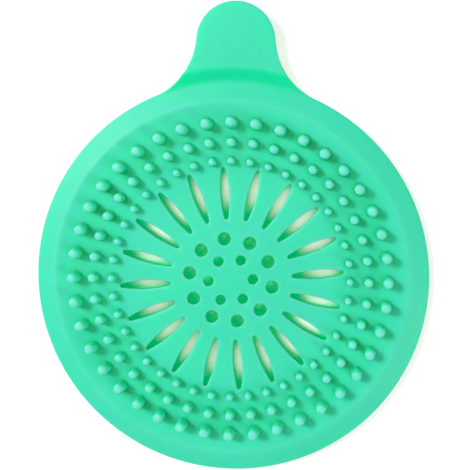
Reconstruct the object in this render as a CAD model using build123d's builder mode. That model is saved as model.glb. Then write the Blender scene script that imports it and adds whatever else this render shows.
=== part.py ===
from build123d import *
import os
from math import asin, atan, atan2, cos, hypot, radians, sin, sqrt

# A round silicone sink strainer that lies over a drain: a perforated low dome in a flat deck,
# three rings of pegs, a sloping rim that seals on the sink, and a raised pull tab.
# Origin: on the disc's axis, in the plane of the sink. +Z is up and +Y points to the pull tab.
# All sizes are in millimetres.

# Whole strainer
disc_diameter = 130.0
plate_thickness = 2.0
deck_height = 4.4

# Low dome in the middle of the deck: its rise, and where its crown's curve turns to its foot's curve
dome_rise = 1.6
dome_turn_share = 0.63

# Drain holes through the dome
inner_hole_count = 6
inner_hole_diameter = 3.3
inner_hole_circle_radius = 7.3
inner_hole_angle = 64.2
outer_hole_count = 10
outer_hole_diameter = 4.2
outer_hole_circle_radius = 13.7
outer_hole_angle = 99.9

# Lens-shaped slots through the dome, from their inner ends out to the pegs' feet
slot_count = 20
slot_angle = 95.2
slot_inner_end_radius = 20.0
slot_width = 2.9
slot_end_radius = 0.62
slot_peg_clearance = 0.45

# Three rings of pegs on the deck
pegs_per_ring = 40
first_peg_angle = 90.7
peg_foot_fillet = 0.25
peg_tip_crown = 0.3
peg_tip_rounding_share = 0.6
inner_peg_base_diameter = 2.8
inner_peg_tip_diameter = 2.3
inner_peg_height = 3.0
middle_peg_base_diameter = 3.5
middle_peg_tip_diameter = 2.9
middle_peg_height = 3.6
outer_peg_base_diameter = 4.2
outer_peg_tip_diameter = 3.3
outer_peg_height = 4.6
inner_to_middle_spacing = 6.05
middle_to_outer_spacing = 6.4
outer_peg_margin = 3.45

# Rim: a crest round the deck, a skirt that slopes down from it, and a lip on the sink
crest_inset = 3.4
crest_rise = 0.3
crest_rounding = 1.4
crest_shoulder = 2.2
rim_run = 6.7
lip_width = 2.2
lip_thickness = 2.4
lip_foot_width = 1.6

# Raised pull tab beyond the rim
tab_length = 25.5
tab_head_radius = 12.8
tab_flare_radius = 22.0
tab_flare_trim = 1.6
tab_thickness = 2.0
tab_riser_run = 3.5
tab_riser_foot_width = 1.5
tab_ledge = 2.0
tab_hinge_gap = 0.1
tab_edge_rounding = 0.6

# One overrun for every cutting tool, past the faces it cuts
cut_overrun = 2.0

# Radii of the rim, from the disc's edge inwards
disc_radius = disc_diameter / 2
lip_inner_radius = disc_radius - lip_width
crest_radius = disc_radius - rim_run
skirt_inner_radius = crest_radius + crest_shoulder
deck_edge_radius = crest_radius - crest_inset

# Radii of the rings of pegs, from the deck's edge inwards
outer_peg_circle_radius = deck_edge_radius - outer_peg_margin
middle_peg_circle_radius = outer_peg_circle_radius - middle_to_outer_spacing
inner_peg_circle_radius = middle_peg_circle_radius - inner_to_middle_spacing
inner_peg_foot_radius = inner_peg_base_diameter / 2 + peg_foot_fillet

# The slots stop short of the inner pegs' feet, and the dome ends between the two.
slot_outer_end_radius = inner_peg_circle_radius - inner_peg_foot_radius - slot_peg_clearance
dome_radius = slot_outer_end_radius + slot_peg_clearance / 2

# The dome's pieces part midway between one ring of openings and the next.
inner_holes_reach = inner_hole_circle_radius + inner_hole_diameter / 2
outer_holes_start = outer_hole_circle_radius - outer_hole_diameter / 2
outer_holes_reach = outer_hole_circle_radius + outer_hole_diameter / 2
centre_cap_radius = (inner_holes_reach + outer_holes_start) / 2
drain_hole_ring_radius = (outer_holes_reach + slot_inner_end_radius) / 2

# The tab lies level with the deck, clear of the sink, and bends just beyond its riser.
tab_height = deck_height
tab_underside = tab_height - tab_thickness
tab_reach = disc_radius + tab_length
tab_hinge_reach = disc_radius + tab_riser_run + tab_ledge

deck_underside = deck_height - plate_thickness
tallest = deck_height + max(dome_rise, outer_peg_height, middle_peg_height, inner_peg_height)
cut_height = tallest + cut_overrun

# The dome is a convex crown and a concave foot that meet at one slope.
dome_turn_radius = dome_radius * dome_turn_share
dome_slope = 2 * atan(dome_rise / dome_radius)
crown_curve_radius = dome_turn_radius / sin(dome_slope)
foot_curve_radius = (dome_radius - dome_turn_radius) / sin(dome_slope)


def dome_point(radius, depth):
    """A point of the plate's section at a radius, at a depth below its upper surface."""
    if radius <= dome_turn_radius:
        slope = asin(radius / crown_curve_radius)
        drop = crown_curve_radius * (1 - cos(slope))
        height = deck_height + dome_rise - drop
    elif radius < dome_radius:
        slope = asin((dome_radius - radius) / foot_curve_radius)
        height = deck_height + foot_curve_radius * (1 - cos(slope))
    else:
        slope = 0
        height = deck_height
    return (radius - depth * sin(slope), height - depth * cos(slope))


def dome_section():
    """Half section of the domed plate, from the axis to the edge of the deck."""
    crown_middle = dome_turn_radius / 2
    foot_middle = (dome_turn_radius + dome_radius) / 2
    with BuildSketch(Plane.XZ) as section:
        with BuildLine():
            for depth in (0, plate_thickness):
                ThreePointArc(
                    dome_point(0, depth),
                    dome_point(crown_middle, depth),
                    dome_point(dome_turn_radius, depth),
                )
                ThreePointArc(
                    dome_point(dome_turn_radius, depth),
                    dome_point(foot_middle, depth),
                    dome_point(dome_radius, depth),
                )
                Line(dome_point(dome_radius, depth), dome_point(deck_edge_radius, depth))
            Line(dome_point(0, 0), dome_point(0, plate_thickness))
            Line(dome_point(deck_edge_radius, 0), dome_point(deck_edge_radius, plate_thickness))
        make_face()
    return section.sketch_local


def rim_section():
    """Half section of the rim: the crest, the skirt and the lip that lies on the sink."""
    with BuildSketch(Plane.XZ) as section:
        with BuildLine():
            Polyline(
                (deck_edge_radius, deck_underside),
                (deck_edge_radius, deck_height),
                (crest_radius, deck_height + crest_rise),
                (disc_radius, lip_thickness),
                (disc_radius, 0),
                (disc_radius - lip_foot_width, 0),
                (crest_radius, deck_underside),
                close=True,
            )
        make_face()
        crest = section.vertices().sort_by(Axis.Y)[-1]
        fillet(crest, crest_rounding)
    return section.sketch_local


def band(section, inner_radius, outer_radius):
    """The part of a half section that lies between two radii."""
    with BuildSketch(Plane.XZ) as kept:
        add(section)
        with Locations(((inner_radius + outer_radius) / 2, 0)):
            Rectangle(outer_radius - inner_radius, 2 * cut_height, mode=Mode.INTERSECT)
    return kept.sketch


def slot_outline():
    """A lens with rounded ends, along local X, whose sides are tangent to its end arcs."""
    half_length = (slot_outer_end_radius - slot_inner_end_radius) / 2
    half_width = slot_width / 2
    end_centre = half_length - slot_end_radius
    side_radius = (end_centre**2 + half_width**2 - slot_end_radius**2) / (
        slot_width - 2 * slot_end_radius
    )
    side_offset = side_radius - half_width
    tangent_angle = atan2(end_centre, side_offset)
    tangent_x = side_radius * sin(tangent_angle)
    tangent_y = side_radius * cos(tangent_angle) - side_offset
    with BuildSketch() as outline:
        with BuildLine():
            for side in (1, -1):
                ThreePointArc(
                    (-tangent_x, side * tangent_y), (0, side * half_width), (tangent_x, side * tangent_y)
                )
                ThreePointArc(
                    (side * tangent_x, tangent_y), (side * half_length, 0), (side * tangent_x, -tangent_y)
                )
        make_face()
    return outline.sketch_local


def peg_section(base_diameter, tip_diameter, height):
    """Half section of one peg: a foot that flares into the deck, a taper and a crowned, rounded tip."""
    base_radius = base_diameter / 2
    tip_radius = tip_diameter / 2
    shoulder_height = height - peg_tip_crown
    crown_radius = (tip_radius**2 + peg_tip_crown**2) / (2 * peg_tip_crown)
    crown_drop = crown_radius - sqrt(crown_radius**2 - (tip_radius / 2) ** 2)
    flare_inset = peg_foot_fillet * (1 - cos(radians(45)))
    with BuildSketch(Plane.XZ) as section:
        with BuildLine():
            Line((0, 0), (base_radius + peg_foot_fillet, 0))
            ThreePointArc(
                (base_radius + peg_foot_fillet, 0),
                (base_radius + flare_inset, flare_inset),
                (base_radius, peg_foot_fillet),
            )
            Line((base_radius, peg_foot_fillet), (tip_radius, shoulder_height))
            ThreePointArc((tip_radius, shoulder_height), (tip_radius / 2, height - crown_drop), (0, height))
            Line((0, height), (0, 0))
        make_face()
        shoulder = section.vertices().filter_by_position(Axis.Y, shoulder_height, shoulder_height)
        fillet(shoulder, tip_radius * peg_tip_rounding_share)
    return section.sketch


def tab_outline():
    """Plan outline of the disc with the tab: the head's round, a flare each side, the disc's round."""
    head_centre = tab_reach - tab_head_radius
    to_head = tab_head_radius + tab_flare_radius
    to_disc = disc_radius + tab_flare_radius
    flare_y = (to_disc**2 - to_head**2 + head_centre**2) / (2 * head_centre)
    flare_x = sqrt(to_disc**2 - flare_y**2)
    disc_share = disc_radius / to_disc
    head_share = tab_head_radius / to_head
    disc_x = flare_x * disc_share
    disc_y = flare_y * disc_share
    head_x = flare_x * head_share
    head_y = head_centre + (flare_y - head_centre) * head_share
    middle_x = (disc_x + head_x) / 2 - flare_x
    middle_y = (disc_y + head_y) / 2 - flare_y
    middle_scale = tab_flare_radius / hypot(middle_x, middle_y)
    flare_middle_x = flare_x + middle_x * middle_scale
    flare_middle_y = flare_y + middle_y * middle_scale
    with BuildSketch() as outline:
        with BuildLine():
            ThreePointArc((disc_x, disc_y), (0, -disc_radius), (-disc_x, disc_y))
            ThreePointArc((-disc_x, disc_y), (-flare_middle_x, flare_middle_y), (-head_x, head_y))
            ThreePointArc((-head_x, head_y), (0, tab_reach), (head_x, head_y))
            ThreePointArc((head_x, head_y), (flare_middle_x, flare_middle_y), (disc_x, disc_y))
        make_face()
    return outline.sketch_local, disc_x


dome = dome_section()
rim = rim_section()
slot = slot_outline()
tab_plan, flare_half_width = tab_outline()

# Middle of the dome, with the inner drain holes
with BuildPart() as centre_cap:
    revolve(band(dome, 0, centre_cap_radius), axis=Axis.Z)
    with BuildSketch():
        with PolarLocations(inner_hole_circle_radius, inner_hole_count, start_angle=inner_hole_angle):
            Circle(inner_hole_diameter / 2)
    extrude(amount=cut_height, mode=Mode.SUBTRACT)

# Ring of larger drain holes round the middle
with BuildPart() as drain_hole_ring:
    revolve(band(dome, centre_cap_radius, drain_hole_ring_radius), axis=Axis.Z)
    with BuildSketch():
        with PolarLocations(outer_hole_circle_radius, outer_hole_count, start_angle=outer_hole_angle):
            Circle(outer_hole_diameter / 2)
    extrude(amount=cut_height, mode=Mode.SUBTRACT)

# Flank of the dome, with the slots
with BuildPart() as slotted_dome:
    revolve(band(dome, drain_hole_ring_radius, dome_radius), axis=Axis.Z)
    slot_middle_radius = (slot_inner_end_radius + slot_outer_end_radius) / 2
    with BuildSketch():
        with PolarLocations(slot_middle_radius, slot_count, start_angle=slot_angle):
            add(slot)
    extrude(amount=cut_height, mode=Mode.SUBTRACT)

# Flat deck that carries the pegs
with BuildPart() as peg_deck:
    revolve(band(dome, dome_radius, deck_edge_radius), axis=Axis.Z)

# Crest round the deck
with BuildPart() as crest_ring:
    revolve(band(rim, deck_edge_radius, skirt_inner_radius), axis=Axis.Z)

# Skirt that slopes down to the sink
with BuildPart() as sloping_skirt:
    revolve(band(rim, skirt_inner_radius, lip_inner_radius), axis=Axis.Z)

# Thin lip that lies on the sink and seals there
with BuildPart() as sealing_lip:
    revolve(band(rim, lip_inner_radius, disc_radius), axis=Axis.Z)

# One peg of each size, standing at the axis
with BuildPart() as inner_peg:
    revolve(peg_section(inner_peg_base_diameter, inner_peg_tip_diameter, inner_peg_height), axis=Axis.Z)
with BuildPart() as middle_peg:
    revolve(peg_section(middle_peg_base_diameter, middle_peg_tip_diameter, middle_peg_height), axis=Axis.Z)
with BuildPart() as outer_peg:
    revolve(peg_section(outer_peg_base_diameter, outer_peg_tip_diameter, outer_peg_height), axis=Axis.Z)

# Rings of pegs on the deck
with BuildPart(Plane.XY.offset(deck_height)) as inner_pegs:
    with PolarLocations(inner_peg_circle_radius, pegs_per_ring, start_angle=first_peg_angle):
        add(inner_peg.part)
with BuildPart(Plane.XY.offset(deck_height)) as middle_pegs:
    with PolarLocations(middle_peg_circle_radius, pegs_per_ring, start_angle=first_peg_angle):
        add(middle_peg.part)
with BuildPart(Plane.XY.offset(deck_height)) as outer_pegs:
    with PolarLocations(outer_peg_circle_radius, pegs_per_ring, start_angle=first_peg_angle):
        add(outer_peg.part)

# Riser between the lip and the tab: a bent web that climbs from the sink to the tab's height
with BuildPart() as tab_riser:
    with BuildSketch(Plane.XZ):
        with BuildLine():
            Polyline(
                (disc_radius, 0),
                (disc_radius, lip_thickness),
                (disc_radius + tab_riser_run, tab_height),
                (tab_reach, tab_height),
                (tab_reach, tab_underside),
                (disc_radius + tab_riser_foot_width + tab_riser_run * tab_underside / tab_height, tab_underside),
                (disc_radius + tab_riser_foot_width, 0),
                close=True,
            )
        make_face()
    revolve(axis=Axis.Z)
    with BuildSketch():
        add(tab_plan)
        with Locations((0, tab_hinge_reach / 2)):
            Rectangle(2 * (flare_half_width - tab_flare_trim), tab_hinge_reach, mode=Mode.INTERSECT)
    extrude(amount=cut_height, mode=Mode.INTERSECT)

# Pull tab, which bends up at the riser
with BuildPart() as pull_tab:
    with BuildSketch(Plane.XY.offset(tab_underside)):
        add(tab_plan)
        with Locations((0, tab_hinge_reach + tab_hinge_gap + tab_reach / 2)):
            Rectangle(2 * disc_radius, tab_reach, mode=Mode.INTERSECT)
    extrude(amount=tab_thickness)
    rounded = pull_tab.edges().filter_by_position(Axis.Z, tab_underside, tab_underside)
    rounded += pull_tab.edges().filter_by_position(Axis.Z, tab_height, tab_height)
    hinge_edges = rounded.group_by(Axis.Y)[0]
    fillet([edge for edge in rounded if edge not in hinge_edges], tab_edge_rounding)

subparts = {
    "centre_cap": centre_cap,
    "drain_hole_ring": drain_hole_ring,
    "slotted_dome": slotted_dome,
    "peg_deck": peg_deck,
    "inner_pegs": inner_pegs,
    "middle_pegs": middle_pegs,
    "outer_pegs": outer_pegs,
    "crest_ring": crest_ring,
    "sloping_skirt": sloping_skirt,
    "sealing_lip": sealing_lip,
    "tab_riser": tab_riser,
    "pull_tab": pull_tab,
}

os.makedirs("parts", exist_ok=True)
for label, subpart in subparts.items():
    subpart.part.label = label
    export_step(subpart.part, f"parts/{label}.step")
    print(label, "solids", len(subpart.part.solids()), "volume", round(subpart.part.volume))
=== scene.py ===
import bpy
import math
import random
from mathutils import Matrix, Vector, noise
from mathutils.geometry import delaunay_2d_cdt


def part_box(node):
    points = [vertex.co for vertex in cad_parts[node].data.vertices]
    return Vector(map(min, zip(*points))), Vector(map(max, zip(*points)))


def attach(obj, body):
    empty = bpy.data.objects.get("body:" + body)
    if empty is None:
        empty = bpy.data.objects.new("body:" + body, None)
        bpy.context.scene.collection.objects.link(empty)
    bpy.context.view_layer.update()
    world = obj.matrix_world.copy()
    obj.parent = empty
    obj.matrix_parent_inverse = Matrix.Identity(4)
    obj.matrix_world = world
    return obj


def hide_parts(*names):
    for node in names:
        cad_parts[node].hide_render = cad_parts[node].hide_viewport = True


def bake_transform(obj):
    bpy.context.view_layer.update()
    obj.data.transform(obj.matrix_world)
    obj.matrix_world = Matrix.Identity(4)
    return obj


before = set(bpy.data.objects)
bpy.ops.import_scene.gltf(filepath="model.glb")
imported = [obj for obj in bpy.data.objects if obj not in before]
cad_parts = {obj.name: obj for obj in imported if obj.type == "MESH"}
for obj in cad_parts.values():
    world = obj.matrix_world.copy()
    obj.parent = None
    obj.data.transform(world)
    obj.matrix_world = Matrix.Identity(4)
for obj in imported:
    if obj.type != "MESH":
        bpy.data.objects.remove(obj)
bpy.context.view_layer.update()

# A mint green silicone sink strainer on a pale table, under soft light from the upper left.
# Lengths are in metres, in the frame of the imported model: +Z up, +Y to the pull tab.
MM = 0.001

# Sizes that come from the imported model
disc_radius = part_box("sealing_lip")[1].x
deck_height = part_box("peg_deck")[1].z
deck_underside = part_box("peg_deck")[0].z
deck_edge_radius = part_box("peg_deck")[1].x
dome_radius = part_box("slotted_dome")[1].x
dome_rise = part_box("centre_cap")[1].z - deck_height
tab_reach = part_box("pull_tab")[1].y
tab_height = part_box("pull_tab")[1].z
tab_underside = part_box("pull_tab")[0].z

# Low dome: where its crown turns to its foot, as a share of its radius
dome_turn_share = 0.63

# Rim: the crest round the deck, the skirt and the lip
rim_width = 6.7 * MM
crest_radius = disc_radius - rim_width
crest_rise = 0.3 * MM
crest_rounding = 2.2 * MM
deck_edge_rounding = 9 * MM
lip_thickness = 2.4 * MM
lip_foot_width = 1.6 * MM
sharp_rounding = 0.01 * MM

# Tab: its outline in plan, and the riser that carries it
tab_head_radius = 12.8 * MM
tab_flare_radius = 22.0 * MM
riser_run = 3.5 * MM
riser_foot_width = 1.5 * MM
riser_foot_rounding = 2.2 * MM
riser_top_rounding = 0.25 * MM
riser_half_angle = math.radians(18)
riser_fade_angle = math.radians(7)

# Openings in the dome
inner_hole_count = 6
inner_hole_radius = 1.65 * MM
inner_hole_circle_radius = 7.3 * MM
inner_hole_angle = math.radians(64.2)
outer_hole_count = 10
outer_hole_radius = 2.1 * MM
outer_hole_circle_radius = 13.7 * MM
outer_hole_angle = math.radians(99.9)
slot_count = 20
slot_angle = math.radians(95.2)
slot_inner_end = 20.0 * MM
slot_outer_end = 36.9 * MM
slot_half_width = 1.45 * MM
slot_end_radius = 0.62 * MM

# Rounded edges: the plate's outline and the openings, above and below
edge_rounding_above = 0.45 * MM
edge_rounding_below = 0.3 * MM
opening_rounding_above = 0.38 * MM
opening_rounding_below = 0.2 * MM
rounding_steps = 4

# Pegs
pegs_per_ring = 40
first_peg_angle = math.radians(90.7)
peg_foot_fillet = 0.25 * MM
peg_tip_crown = 0.45 * MM
peg_tip_rounding_share = 0.65
peg_sink = 0.25 * MM
peg_sides = 32
peg_lean = math.radians(0.9)
peg_slant = Vector((-math.tan(math.radians(4.5)), math.tan(math.radians(3.0)), 0))

# Rings of pegs: radius of the ring, of a peg's foot and of its tip
inner_peg_radii = (39.0 * MM, 1.3 * MM, 1.1 * MM)
middle_peg_radii = (45.05 * MM, 1.6 * MM, 1.4 * MM)
outer_peg_radii = (51.45 * MM, 1.9 * MM, 1.6 * MM)

# Unevenness of the soft plate
sway = 0.05 * MM
sway_length = 14 * MM

# Painted highlights kept on the meshes as tones, from 0 to 1, which make the silicone paler
opening_paleness = 0.35
opening_pale_width = 0.3 * MM
crest_paleness = 0.18
crest_pale_width = 2.0 * MM
tip_paleness = 1.6

# Band of painted shade on the riser, in shares of the riser's run
riser_band_start = -0.3
riser_band_rise = 0.45
riser_band_end = 1.06
riser_band_fall = 0.08

# Fineness of the mesh
grid_sides = 240
fewest_grid_sides = 12
grid_step = 1.2 * MM
grid_clearance = 0.35 * MM
plan_scale = 1 / MM
plan_tolerance = 1e-6
radius_places = 6
arc_steps = 6
dome_steps = 24
disc_sides = 300
head_sides = 60
flare_sides = 28
hole_sides = 36
slot_side_steps = 22
slot_end_steps = 10
peg_crown_shares = (0.66, 0.33)

# Silicone: its colours. Those of the clouds are given as (strength of the cloud, colour).
cloud_mints = (
    (0.3, (0.07, 0.95, 0.62, 1)),
    (0.7, (0.085, 0.99, 0.67, 1)),
)
# Painted highlight round the openings, along the crest and on the peg tips
highlight_mint = (0.28, 1.0, 0.79, 1)
# Painted shade on the riser
riser_shade_mint = (0.0, 0.98, 0.53, 1)
# Painted shade in nooks, on the plate and on the pegs
plate_nook_shade = (0.0, 0.8, 0.36, 1)
peg_nook_shade = (0.0, 0.72, 0.36, 1)
through_mint = (0.0, 0.95, 0.5, 1)

# Silicone: its textures, its shine and how it passes light on
cloud_scale = 60
cloud_detail = 3
mottle_scale = 1500
mottle_range = (0.3, 0.7)
mottle_strength = (0.8, 1.0)
grain_scale = 2200
grain_strength = 0.25
grain_depth = 0.02 * MM
fine_detail = 2
# Painted shade in nooks: the occlusion's rays, its reach and the range that it darkens over
nook_samples = 8
nook_reach = 5 * MM
nook_range = (0.55, 0.9)
roughness_range = (0.46, 0.54)
specular_level = 0.4
scatter_radius = (0.05, 1.0, 0.4)
scatter_scale = 2.5 * MM
plate_through_share = 0.25
peg_through_share = 0.2

# Table: painted glow and tint by how open it is, from 0 to 1, given as (openness, colour)
table_size = 6
table_drop = 0.05 * MM
table_matt = (0.8, 0.8, 0.78, 1)
table_painted_glow = (
    (0.25, (0.0, 0.31, 0.1, 1)),
    (0.32, (0.68, 0.7, 0.62, 1)),
    (0.5, (0.64, 0.65, 0.62, 1)),
)
table_painted_tint = (
    (0.25, (0.0, 0.5, 0.2, 1)),
    (0.32, (0.5, 0.5, 0.48, 1)),
)
openness_samples = 32
openness_reach = 40 * MM
openness_leaning = (-0.38, -0.25, 0.89)

# Light: strength of the pale studio, and of each lamp the azimuth and elevation in degrees,
# the size in metres and the power in watts
studio_strength = 0.34
lamp_distance = 2
key_lamp = (152, 43, 0.55, 32)
fill_lamp = (-30, 28, 0.9, 14)

# Photograph: the camera's place, what it is aimed at, and how the picture is framed
picture_width = 470
camera_place = Vector((30.1, 52.9, 250.0)) * MM
camera_aim = Vector((21.96, 36.2, 0.0)) * MM
camera_roll = math.radians(1.37)
camera_focal_pixels = 760
camera_shift_right = -0.1407
camera_shift_up = -0.1377
sensor_width = 36


def clipped(value):
    """A value kept between 0 and 1."""
    return min(1, max(0, value))


def profile_height(points, radius):
    """Height of a section, given as points (radius, height), at a radius."""
    for (r0, z0), (r1, z1) in zip(points, points[1:]):
        if radius <= r1:
            return z0 + (z1 - z0) * (radius - r0) / (r1 - r0)
    return points[-1][1]


def rounded_run(corners):
    """Points along straight runs whose corners, given as (radius, height, rounding), are arcs."""
    points = [corners[0][:2]]
    for before, corner, after in zip(corners, corners[1:], corners[2:]):
        here = Vector(corner[:2])
        back = (Vector(before[:2]) - here).normalized()
        ahead = (Vector(after[:2]) - here).normalized()
        half_angle = back.angle(ahead) / 2
        reach = corner[2] / math.tan(half_angle)
        bisector = (back + ahead).normalized()
        centre = here + bisector * (corner[2] / math.sin(half_angle))
        start = here + back * reach - centre
        end = here + ahead * reach - centre
        for step in range(arc_steps + 1):
            share = step / arc_steps
            spoke = start.slerp(end, share).normalized() * corner[2]
            points.append(tuple(centre + spoke))
    points.append(corners[-1][:2])
    return points


def dome_run():
    """Points of the dome's upper surface: a convex crown that runs into a concave foot."""
    turn_radius = dome_radius * dome_turn_share
    slope = 2 * math.atan(dome_rise / dome_radius)
    crown = turn_radius / math.sin(slope)
    foot = (dome_radius - turn_radius) / math.sin(slope)
    points = []
    for step in range(dome_steps):
        radius = dome_radius * step / dome_steps
        if radius < turn_radius:
            drop = crown - math.sqrt(crown**2 - radius**2)
            height = deck_height + dome_rise - drop
        else:
            height = deck_height + foot - math.sqrt(foot**2 - (dome_radius - radius) ** 2)
        points.append((radius, height))
    return points


def upper_section(riser_foot):
    """Points of the plate's upper surface, with a rounding where the riser leaves the lip."""
    return dome_run() + rounded_run([
        (dome_radius, deck_height, 0),
        (deck_edge_radius, deck_height, deck_edge_rounding),
        (crest_radius, deck_height + crest_rise, crest_rounding),
        (disc_radius, lip_thickness, riser_foot),
        (disc_radius + riser_run, tab_height, riser_top_rounding),
        (tab_reach, tab_height, 0),
    ])


plate_thickness = deck_height - deck_underside
rim_run = upper_section(sharp_rounding)
upper_run = upper_section(riser_foot_rounding)
lower_run = [(radius, height - plate_thickness) for radius, height in dome_run()] + [
    (dome_radius, deck_underside),
    (crest_radius, deck_underside),
    (disc_radius - lip_foot_width, 0),
    (disc_radius + riser_foot_width, 0),
    (disc_radius + riser_foot_width + riser_run * tab_underside / tab_height, tab_underside),
    (tab_reach, tab_underside),
]


def riser_share(x, y):
    """How much a point belongs to the riser's sector: 1 within it, fading to 0 beside it."""
    off_tab = abs(math.atan2(x, y)) - riser_half_angle
    return clipped(1 - off_tab / riser_fade_angle)


def upper_height(x, y):
    """Height of the plate's upper surface, with the slight unevenness of soft silicone."""
    radius = math.hypot(x, y)
    fade = min(1, abs(disc_radius - radius) / (disc_radius - crest_radius))
    uneven = sway * fade * noise.noise(Vector((x / sway_length, y / sway_length, 0)))
    plain = profile_height(rim_run, radius)
    return plain + riser_share(x, y) * (profile_height(upper_run, radius) - plain) + uneven


def lower_height(x, y):
    """Height of the plate's underside."""
    return profile_height(lower_run, math.hypot(x, y))


def arc(centre, radius, start, end, steps):
    """Points of an arc in plan, without its last point."""
    points = []
    for step in range(steps):
        angle = start + (end - start) * step / steps
        points.append((centre[0] + radius * math.cos(angle), centre[1] + radius * math.sin(angle)))
    return points


# Outline of disc and tab: the head's circle and the disc's circle, each side joined by a flare
head_centre = tab_reach - tab_head_radius
to_head = tab_head_radius + tab_flare_radius
to_disc = disc_radius + tab_flare_radius
flare_y = (to_disc**2 - to_head**2 + head_centre**2) / (2 * head_centre)
flare_x = math.sqrt(to_disc**2 - flare_y**2)
disc_touch_angle = math.atan2(flare_y, flare_x)
head_touch_angle = math.atan2(flare_y - head_centre, flare_x)
disc_touch_y = disc_radius * math.sin(disc_touch_angle)
head_touch_y = head_centre + tab_head_radius * math.sin(head_touch_angle)


def outline_loop(inset):
    """Outline of disc and tab, anticlockwise, moved inwards by inset."""
    flare = tab_flare_radius + inset
    head = tab_head_radius - inset
    left_disc_touch = math.pi - disc_touch_angle
    left_head_touch = math.pi - head_touch_angle
    right_disc_touch = 2 * math.pi + disc_touch_angle
    flare_start = math.pi + disc_touch_angle
    flare_end = math.pi + head_touch_angle
    loop = arc((0, 0), disc_radius - inset, left_disc_touch, right_disc_touch, disc_sides)
    loop += arc((flare_x, flare_y), flare, flare_start, flare_end, flare_sides)
    loop += arc((0, head_centre), head, head_touch_angle, left_head_touch, head_sides)
    loop += arc((-flare_x, flare_y), flare, -head_touch_angle, -disc_touch_angle, flare_sides)
    return loop


def inside_outline(x, y, inset):
    """Whether a point lies inside disc and tab, at least inset from their edge."""
    if math.hypot(x, y) <= disc_radius - inset:
        return True
    if math.hypot(x, y - head_centre) <= tab_head_radius - inset:
        return True
    between = disc_touch_y < y < head_touch_y and abs(x) < flare_x
    return between and math.hypot(abs(x) - flare_x, y - flare_y) >= tab_flare_radius + inset


def polar(radius, angle):
    """A point in plan, at an angle from +X."""
    return (radius * math.cos(angle), radius * math.sin(angle))


class RoundHole:
    """A round drain hole."""

    def __init__(self, centre, radius):
        self.centre = centre
        self.radius = radius

    def loop(self, growth):
        """Its outline, grown by a length."""
        return arc(self.centre, self.radius + growth, 0, 2 * math.pi, hole_sides)

    def covers(self, x, y, growth):
        """Whether it covers a point, once grown by a length."""
        return math.hypot(x - self.centre[0], y - self.centre[1]) < self.radius + growth


class Slot:
    """A lens-shaped slot along a radius: two long side arcs joined by two small end arcs."""

    def __init__(self, angle):
        self.angle = angle
        self.centre = polar((slot_inner_end + slot_outer_end) / 2, angle)
        self.end = (slot_outer_end - slot_inner_end) / 2 - slot_end_radius
        self.side_radius = (self.end**2 + slot_half_width**2 - slot_end_radius**2) / (
            2 * (slot_half_width - slot_end_radius)
        )
        self.side_offset = self.side_radius - slot_half_width
        self.touch_angle = math.atan2(self.side_offset, self.end)

    def loop(self, growth):
        """Its outline, grown by a length."""
        side = self.side_radius + growth
        end = slot_end_radius + growth
        low, high = self.touch_angle, math.pi - self.touch_angle
        points = arc((0, -self.side_offset), side, low, high, slot_side_steps)
        points += arc((-self.end, 0), end, high, 2 * math.pi - high, slot_end_steps)
        points += arc((0, self.side_offset), side, math.pi + low, math.pi + high, slot_side_steps)
        points += arc((self.end, 0), end, -low, low, slot_end_steps)
        turned = []
        for x, y in points:
            turned.append((
                self.centre[0] + x * math.cos(self.angle) - y * math.sin(self.angle),
                self.centre[1] + x * math.sin(self.angle) + y * math.cos(self.angle),
            ))
        return turned

    def covers(self, x, y, growth):
        """Whether it covers a point, once grown by a length."""
        dx, dy = x - self.centre[0], y - self.centre[1]
        along = dx * math.cos(self.angle) + dy * math.sin(self.angle)
        across = abs(dy * math.cos(self.angle) - dx * math.sin(self.angle))
        if abs(along) > self.end + slot_end_radius + growth:
            return False
        in_side = math.hypot(along, across + self.side_offset) < self.side_radius + growth
        in_end = math.hypot(abs(along) - self.end, across) < slot_end_radius + growth
        return in_side and (abs(along) < self.end or in_end)


def all_openings():
    """The dome's small and large round holes and its slots."""
    openings = []
    for index in range(inner_hole_count):
        angle = inner_hole_angle + index * 2 * math.pi / inner_hole_count
        openings.append(RoundHole(polar(inner_hole_circle_radius, angle), inner_hole_radius))
    for index in range(outer_hole_count):
        angle = outer_hole_angle + index * 2 * math.pi / outer_hole_count
        openings.append(RoundHole(polar(outer_hole_circle_radius, angle), outer_hole_radius))
    for index in range(slot_count):
        openings.append(Slot(slot_angle + index * 2 * math.pi / slot_count))
    return openings


def rounding_drop(rounding, distance):
    """How far a rounded edge lies below its surface, at a distance from the wall."""
    if distance >= rounding:
        return 0
    return rounding - math.sqrt(rounding**2 - (rounding - distance) ** 2)


def rounding_distances(rounding):
    """Distances from the wall at which a rounded edge gets its rows of points."""
    return [
        rounding * (1 - math.sin(math.pi / 2 * step / rounding_steps))
        for step in range(rounding_steps + 1)
    ]


def grid_points(openings):
    """Points spread over the plate's plan, clear of its edges."""
    radii = sorted({round(radius, radius_places) for radius, height in upper_run + lower_run})
    rings = [0]
    for radius in radii:
        gap = radius - rings[-1]
        if gap < grid_clearance:
            continue
        steps = max(1, round(gap / grid_step))
        start = rings[-1]
        rings += [start + gap * (step + 1) / steps for step in range(steps)]
    points = [(0, 0)]
    for radius in rings[1:]:
        sides = grid_sides
        while sides > fewest_grid_sides and 2 * math.pi * radius / sides < grid_step / 2:
            sides //= 2
        for index in range(sides):
            x, y = polar(radius, 2 * math.pi * index / sides)
            if not inside_outline(x, y, edge_rounding_above + grid_clearance):
                continue
            margin = opening_rounding_above + grid_clearance
            if any(opening.covers(x, y, margin) for opening in openings):
                continue
            points.append((x, y))
    return points


def edge_painted_highlight(x, y, z, openings):
    """Painted highlight of the plate: a thin pale line round each opening and along the crest."""
    if z < lower_height(x, y) + plate_thickness / 2:
        return 0.0
    reach = opening_rounding_above + opening_pale_width
    if any(opening.covers(x, y, reach) for opening in openings):
        return opening_paleness
    off_crest = abs(math.hypot(x, y) - crest_radius)
    return crest_paleness * max(0, 1 - off_crest / crest_pale_width)


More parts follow.
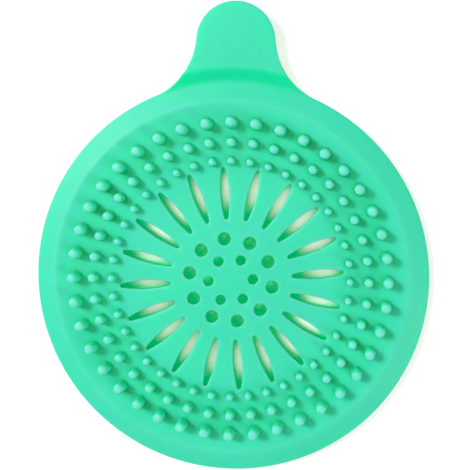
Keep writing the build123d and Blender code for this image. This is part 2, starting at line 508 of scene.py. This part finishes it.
def riser_painted_shade(x, y):
    """Painted shade on the riser: a deep band across its steep web, which lets the light through.
    """
    along = (math.hypot(x, y) - disc_radius) / riser_run
    rise = clipped((along - riser_band_start) / riser_band_rise)
    fall = clipped((riser_band_end - along) / riser_band_fall)
    return riser_share(x, y) * (rise * fall)


def plate_plan(edges, openings):
    """The plate's plan: its points, the places of each edge's points in them, and its triangles."""
    plan = []
    bounds = []
    first_rows = []
    for above, below, loop, inward in edges:
        row = loop(above)
        start = len(plan)
        plan += row
        first_rows.append(range(start, len(plan)))
        count = len(row)
        bounds += [(start + index, start + (index + 1) % count) for index in range(count)]
    plan += grid_points(openings)
    result = delaunay_2d_cdt([Vector(p) * plan_scale for p in plan], bounds, [], 0, plan_tolerance)
    flat, triangles, origins = result[0], result[2], result[3]
    place = {}
    for index, sources in enumerate(origins):
        for source in sources:
            place[source] = index
    kept = []
    for triangle in triangles:
        x = sum(flat[index].x for index in triangle) / 3 / plan_scale
        y = sum(flat[index].y for index in triangle) / 3 / plan_scale
        if not inside_outline(x, y, edge_rounding_above):
            continue
        if any(opening.covers(x, y, opening_rounding_above) for opening in openings):
            continue
        kept.append(triangle)
    points = [(p.x / plan_scale, p.y / plan_scale) for p in flat]
    return points, [[place[index] for index in first] for first in first_rows], kept


def anticlockwise(points, triangle):
    """A triangle of the plan, turned so that it faces upwards."""
    a, b, c = triangle
    (ax, ay), (bx, by), (cx, cy) = points[a], points[b], points[c]
    if (bx - ax) * (cy - ay) < (by - ay) * (cx - ax):
        return a, c, b
    return a, b, c


def strainer_skin():
    """The whole plate as one closed skin: dome, deck, rim, riser and tab, with all openings."""
    openings = all_openings()
    edges = [(edge_rounding_above, edge_rounding_below, outline_loop, 1)]
    for opening in openings:
        edges.append((opening_rounding_above, opening_rounding_below, opening.loop, -1))
    points, first_rows, triangles = plate_plan(edges, openings)
    vertices = []
    faces = []

    def add(x, y, z):
        """Keep a point of the skin, and give its number."""
        vertices.append((x, y, z))
        return len(vertices) - 1

    upper = [add(x, y, upper_height(x, y)) for x, y in points]
    lower = [add(x, y, lower_height(x, y)) for x, y in points]
    for triangle in triangles:
        a, b, c = anticlockwise(points, triangle)
        faces.append((upper[a], upper[b], upper[c]))
        faces.append((lower[a], lower[c], lower[b]))
    for (above, below, loop, inward), first in zip(edges, first_rows):
        upper_rows = [[upper[index] for index in first]]
        lower_rows = [[lower[index] for index in first]]
        for distance in rounding_distances(above)[1:]:
            row = loop(distance)
            upper_rows.append([
                add(x, y, upper_height(x, y) - rounding_drop(above, distance)) for x, y in row
            ])
        for distance in rounding_distances(below):
            row = loop(distance)
            lower_rows.append([
                add(x, y, lower_height(x, y) + rounding_drop(below, distance)) for x, y in row
            ])
        rows = upper_rows + lower_rows[::-1]
        count = len(first)
        for row, next_row in zip(rows, rows[1:]):
            for index in range(count):
                after = (index + 1) % count
                face = (row[index], next_row[index], next_row[after], row[after])
                faces.append(face if inward > 0 else face[::-1])
    piece = smooth_piece("strainer_skin", vertices, faces)
    # Keep the painted highlight and the riser's painted shade as tones on the points
    write_tone(piece, "paleness", [edge_painted_highlight(x, y, z, openings) for x, y, z in vertices])
    write_tone(piece, "depth", [riser_painted_shade(x, y) for x, y, z in vertices])
    return piece


def smooth_piece(name, vertices, faces):
    """A mesh object with smooth shading."""
    mesh = bpy.data.meshes.new(name)
    mesh.from_pydata(vertices, [], faces)
    mesh.validate()
    mesh.polygons.foreach_set("use_smooth", [True] * len(mesh.polygons))
    piece = bpy.data.objects.new(name, mesh)
    bpy.context.scene.collection.objects.link(piece)
    return piece


def peg_run(base, tip, height):
    """Half section of a peg, from its foot under the deck's surface up to the middle of its tip."""
    points = [(base + peg_foot_fillet, -peg_sink)]
    for step in range(arc_steps + 1):
        angle = math.pi / 2 * step / arc_steps
        points.append((
            base + peg_foot_fillet * (1 - math.sin(angle)),
            peg_foot_fillet * (1 - math.cos(angle)),
        ))
    crown = (tip**2 + peg_tip_crown**2) / (2 * peg_tip_crown)
    shoulder = rounded_run([
        (base, peg_foot_fillet, 0),
        (tip, height - peg_tip_crown, tip * peg_tip_rounding_share),
        (0, height, 0),
    ])
    for radius, z in shoulder[1:-1]:
        points.append((radius, z))
    last_radius, last_z = points[-1]
    bulge = crown - math.sqrt(crown**2 - last_radius**2)
    for share in peg_crown_shares:
        radius = last_radius * share
        rise = bulge - (crown - math.sqrt(crown**2 - radius**2))
        points.append((radius, min(height, last_z + rise)))
    points.append((0, min(height, last_z + bulge)))
    return points


def tip_painted_highlight(radius, z, tip, height):
    """Painted highlight of a peg: full on its rounded tip, none on its side."""
    if z < height - peg_tip_crown - tip * peg_tip_rounding_share / 2:
        return 0.0
    return clipped(tip_paleness - tip_paleness * (radius / tip) ** 2)


def write_tone(piece, name, values):
    """Keep a number for each point of a piece, for its material to read."""
    layer = piece.data.attributes.new(name, "FLOAT", "POINT")
    layer.data.foreach_set("value", values)


def peg_ring(name, node, radii, seed):
    """A ring of pegs that stand on the deck in place of a node's solids."""
    ring_radius, base, tip = radii
    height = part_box(node)[1].z - deck_height
    run = peg_run(base, tip, height)
    draw = random.Random(seed)
    vertices = []
    faces = []
    tones = []
    for index in range(pegs_per_ring):
        angle = first_peg_angle + 2 * math.pi * index / pegs_per_ring
        x, y = polar(ring_radius, angle)
        lean = Matrix.Rotation(draw.uniform(-peg_lean, peg_lean), 3, "X") @ Matrix.Rotation(
            draw.uniform(-peg_lean, peg_lean), 3, "Y"
        )
        foot = Vector((x, y, min(deck_height, upper_height(x, y))))
        start = len(vertices)
        for radius, z in run[:-1]:
            for side in range(peg_sides):
                px, py = polar(radius, 2 * math.pi * side / peg_sides)
                share = max(0, z) / height
                upright = Vector((px, py, z))
                slant = peg_slant * max(0, z) * share
                vertices.append(foot + upright.lerp(lean @ upright, share) + slant)
                # Painted highlight on the rounded tip
                tones.append(tip_painted_highlight(radius, z, tip, height))
        top = len(vertices)
        crown_point = Vector((0, 0, run[-1][1]))
        vertices.append(foot + lean @ crown_point + peg_slant * run[-1][1])
        tones.append(1.0)
        bottom = len(vertices)
        vertices.append(foot + Vector((0, 0, run[0][1])))
        tones.append(0.0)
        rows = len(run) - 1
        for row in range(rows - 1):
            for side in range(peg_sides):
                a = start + row * peg_sides + side
                b = start + row * peg_sides + (side + 1) % peg_sides
                faces.append((a, b, b + peg_sides, a + peg_sides))
        last = start + (rows - 1) * peg_sides
        for side in range(peg_sides):
            after = (side + 1) % peg_sides
            faces.append((last + side, last + after, top))
            faces.append((start + after, start + side, bottom))
    piece = smooth_piece(name, vertices, faces)
    write_tone(piece, "paleness", tones)
    return piece


def noise_over(nodes, links, place, scale, detail):
    """Strength of a noise spread over a piece."""
    texture = nodes.new("ShaderNodeTexNoise")
    texture.inputs["Scale"].default_value = scale
    texture.inputs["Detail"].default_value = detail
    links.new(place.outputs["Object"], texture.inputs["Vector"])
    return texture.outputs["Fac"]


def ramp(nodes, links, value, stops):
    """A colour that follows a value through stops, each given as (value, colour)."""
    node = nodes.new("ShaderNodeValToRGB")
    elements = node.color_ramp.elements
    elements[0].position, elements[0].color = stops[0]
    elements[1].position, elements[1].color = stops[-1]
    for position, colour in stops[1:-1]:
        elements.new(position).color = colour
    links.new(value, node.inputs["Fac"])
    return node.outputs["Color"]


def mapped(nodes, links, value, before, after):
    """A value moved from one range, given as two ends, to another."""
    node = nodes.new("ShaderNodeMapRange")
    node.inputs["From Min"].default_value = before[0]
    node.inputs["From Max"].default_value = before[1]
    node.inputs["To Min"].default_value = after[0]
    node.inputs["To Max"].default_value = after[1]
    links.new(value, node.inputs["Value"])
    return node.outputs["Result"]


def combined(nodes, links, operation, first, second):
    """Two values joined by an operation, kept between 0 and 1."""
    node = nodes.new("ShaderNodeMath")
    node.operation = operation
    node.use_clamp = True
    links.new(first, node.inputs[0])
    links.new(second, node.inputs[1])
    return node.outputs["Value"]


def mixed(nodes, links, share, colour, other):
    """A colour moved towards another by a share."""
    node = nodes.new("ShaderNodeMix")
    node.data_type = "RGBA"
    node.inputs["B"].default_value = other
    links.new(share, node.inputs["Factor"])
    links.new(colour, node.inputs["A"])
    return node.outputs["Result"]


def tone(nodes, name):
    """A tone that is kept on a mesh, or 0 where the mesh has none."""
    node = nodes.new("ShaderNodeAttribute")
    node.attribute_name = name
    return node.outputs["Fac"]


def mint_colour(nodes, links, place, clouds, shade_in_nooks):
    """Cloudy mint, with painted highlights by the paleness tone and painted shade on the riser and
    in nooks.
    """
    tint = ramp(nodes, links, clouds, cloud_mints)
    mottle = noise_over(nodes, links, place, mottle_scale, fine_detail)
    mottling = mapped(nodes, links, mottle, mottle_range, mottle_strength)
    # Painted highlight: the paleness tone, broken up by the mottle
    mottled_highlight = combined(nodes, links, "MULTIPLY", tone(nodes, "paleness"), mottling)
    paler = mixed(nodes, links, mottled_highlight, tint, highlight_mint)
    # Painted shade on the riser, by the depth tone
    riser_shaded = mixed(nodes, links, tone(nodes, "depth"), paler, riser_shade_mint)
    # Painted shade: deep green where the occlusion finds a nook
    nook = nodes.new("ShaderNodeAmbientOcclusion")
    nook.samples = nook_samples
    nook.inputs["Distance"].default_value = nook_reach
    nook_darkening = mapped(nodes, links, nook.outputs["AO"], nook_range, (1, 0))
    return mixed(nodes, links, nook_darkening, riser_shaded, shade_in_nooks)


def mint_silicone(name, through_share, shade_in_nooks):
    """Satin, slightly translucent mint silicone with faint clouds, fine grain and soft shine."""
    material = bpy.data.materials.new(name)
    material.use_nodes = True
    nodes, links = material.node_tree.nodes, material.node_tree.links
    shader = nodes["Principled BSDF"]
    place = nodes.new("ShaderNodeTexCoord")
    clouds = noise_over(nodes, links, place, cloud_scale, cloud_detail)
    colour = mint_colour(nodes, links, place, clouds, shade_in_nooks)
    links.new(colour, shader.inputs["Base Color"])
    roughness = mapped(nodes, links, clouds, (0, 1), roughness_range)
    links.new(roughness, shader.inputs["Roughness"])

    bump = nodes.new("ShaderNodeBump")
    bump.inputs["Strength"].default_value = grain_strength
    bump.inputs["Distance"].default_value = grain_depth
    grain = noise_over(nodes, links, place, grain_scale, fine_detail)
    links.new(grain, bump.inputs["Height"])
    links.new(bump.outputs["Normal"], shader.inputs["Normal"])

    shader.inputs["Specular IOR Level"].default_value = specular_level
    shader.inputs["Subsurface Weight"].default_value = 1.0
    shader.inputs["Subsurface Radius"].default_value = scatter_radius
    shader.inputs["Subsurface Scale"].default_value = scatter_scale

    through = nodes.new("ShaderNodeBsdfTranslucent")
    through.inputs["Color"].default_value = through_mint
    blend = nodes.new("ShaderNodeMixShader")
    blend.inputs["Fac"].default_value = through_share
    links.new(shader.outputs["BSDF"], blend.inputs[1])
    links.new(through.outputs["BSDF"], blend.inputs[2])
    links.new(blend.outputs["Shader"], nodes["Material Output"].inputs["Surface"])
    return material


def table_openness(nodes, links):
    """How open the table is towards the key lamp's side: 0 where it is shut in."""
    leaning = nodes.new("ShaderNodeCombineXYZ")
    for axis, part in zip("XYZ", openness_leaning):
        leaning.inputs[axis].default_value = part
    openness = nodes.new("ShaderNodeAmbientOcclusion")
    openness.samples = openness_samples
    openness.inputs["Distance"].default_value = openness_reach
    links.new(leaning.outputs["Vector"], openness.inputs["Normal"])
    return openness.outputs["AO"]


def seen_from_above(nodes, links):
    """1 where the table's top is seen, also in a reflection or through the silicone."""
    path = nodes.new("ShaderNodeLightPath")
    camera_ray, glossy_ray = path.outputs["Is Camera Ray"], path.outputs["Is Glossy Ray"]
    seen = combined(nodes, links, "MAXIMUM", camera_ray, glossy_ray)
    seen = combined(nodes, links, "MAXIMUM", seen, path.outputs["Is Transmission Ray"])
    side = nodes.new("ShaderNodeNewGeometry")
    return combined(nodes, links, "SUBTRACT", seen, side.outputs["Backfacing"])


def pale_table():
    """Matt white table with painted light and shade: white in the open, greyish in the slots, green
    where shut in.
    """
    material = bpy.data.materials.new("pale_table")
    material.use_nodes = True
    nodes, links = material.node_tree.nodes, material.node_tree.links
    nodes.remove(nodes["Principled BSDF"])
    matt = nodes.new("ShaderNodeBsdfDiffuse")
    matt.inputs["Color"].default_value = table_matt

    # The camera sees a painted glow and tint by openness: light in the slots, green shade where
    # shut in
    openness = table_openness(nodes, links)
    glow = nodes.new("ShaderNodeEmission")
    links.new(ramp(nodes, links, openness, table_painted_glow), glow.inputs["Color"])
    lit = nodes.new("ShaderNodeBsdfDiffuse")
    links.new(ramp(nodes, links, openness, table_painted_tint), lit.inputs["Color"])
    both = nodes.new("ShaderNodeAddShader")
    links.new(glow.outputs["Emission"], both.inputs[0])
    links.new(lit.outputs["BSDF"], both.inputs[1])

    choice = nodes.new("ShaderNodeMixShader")
    links.new(seen_from_above(nodes, links), choice.inputs["Fac"])
    links.new(matt.outputs["BSDF"], choice.inputs[1])
    links.new(both.outputs["Shader"], choice.inputs[2])
    links.new(choice.outputs["Shader"], nodes["Material Output"].inputs["Surface"])
    return material


def table():
    """A plain table under the strainer."""
    bpy.ops.mesh.primitive_plane_add(size=table_size)
    floor = bpy.context.object
    floor.name = "table"
    floor.location.z = -table_drop
    floor.data.materials.append(pale_table())


def soft_light():
    """A pale studio all round, a key lamp at the upper left and a weak fill opposite."""
    world = bpy.data.worlds.new("studio")
    bpy.context.scene.world = world
    world.use_nodes = True
    background = world.node_tree.nodes["Background"]
    background.inputs["Color"].default_value = (1, 1, 1, 1)
    background.inputs["Strength"].default_value = studio_strength
    lamp("key", *key_lamp)
    lamp("fill", *fill_lamp)


def lamp(name, azimuth, elevation, size, energy):
    """A round lamp, aimed at the strainer."""
    azimuth, elevation = math.radians(azimuth), math.radians(elevation)
    data = bpy.data.lights.new(name, "AREA")
    data.shape = "DISK"
    data.size = size
    data.energy = energy
    light = bpy.data.objects.new(name, data)
    bpy.context.scene.collection.objects.link(light)
    towards = Vector((
        math.cos(elevation) * math.cos(azimuth),
        math.cos(elevation) * math.sin(azimuth),
        math.sin(elevation),
    ))
    light.location = towards * lamp_distance
    light.rotation_euler = (-towards).to_track_quat("-Z", "Y").to_euler()


def camera():
    """A camera above the tab's right side, as in the photograph."""
    data = bpy.data.cameras.new("camera")
    eye = bpy.data.objects.new("camera", data)
    bpy.context.scene.collection.objects.link(eye)
    back = (camera_place - camera_aim).normalized()
    upwards = Vector((-math.sin(camera_roll), math.cos(camera_roll), 0))
    right = upwards.cross(back).normalized()
    up = back.cross(right)
    turn = Matrix((right, up, back)).transposed().to_4x4()
    eye.matrix_world = Matrix.Translation(camera_place) @ turn
    data.sensor_width = sensor_width
    data.lens = sensor_width * camera_focal_pixels / picture_width
    data.shift_x = camera_shift_right
    data.shift_y = camera_shift_up
    bpy.context.scene.camera = eye


silicone = mint_silicone("mint_silicone", plate_through_share, plate_nook_shade)
peg_silicone = mint_silicone("peg_silicone", peg_through_share, peg_nook_shade)
skin = strainer_skin()
skin.data.materials.append(silicone)
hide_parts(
    "centre_cap", "drain_hole_ring", "slotted_dome", "peg_deck", "crest_ring",
    "sloping_skirt", "sealing_lip", "tab_riser", "pull_tab",
)
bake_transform(skin)

for peg_name, peg_node, peg_radii, peg_seed in (
    ("inner_ring_of_pegs", "inner_pegs", inner_peg_radii, 1),
    ("middle_ring_of_pegs", "middle_pegs", middle_peg_radii, 2),
    ("outer_ring_of_pegs", "outer_pegs", outer_peg_radii, 3),
):
    pegs = peg_ring(peg_name, peg_node, peg_radii, peg_seed)
    pegs.data.materials.append(peg_silicone)
    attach(pegs, "strainer")
    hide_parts(peg_node)

table()
soft_light()
camera()
bpy.context.scene.view_settings.view_transform = "Standard"
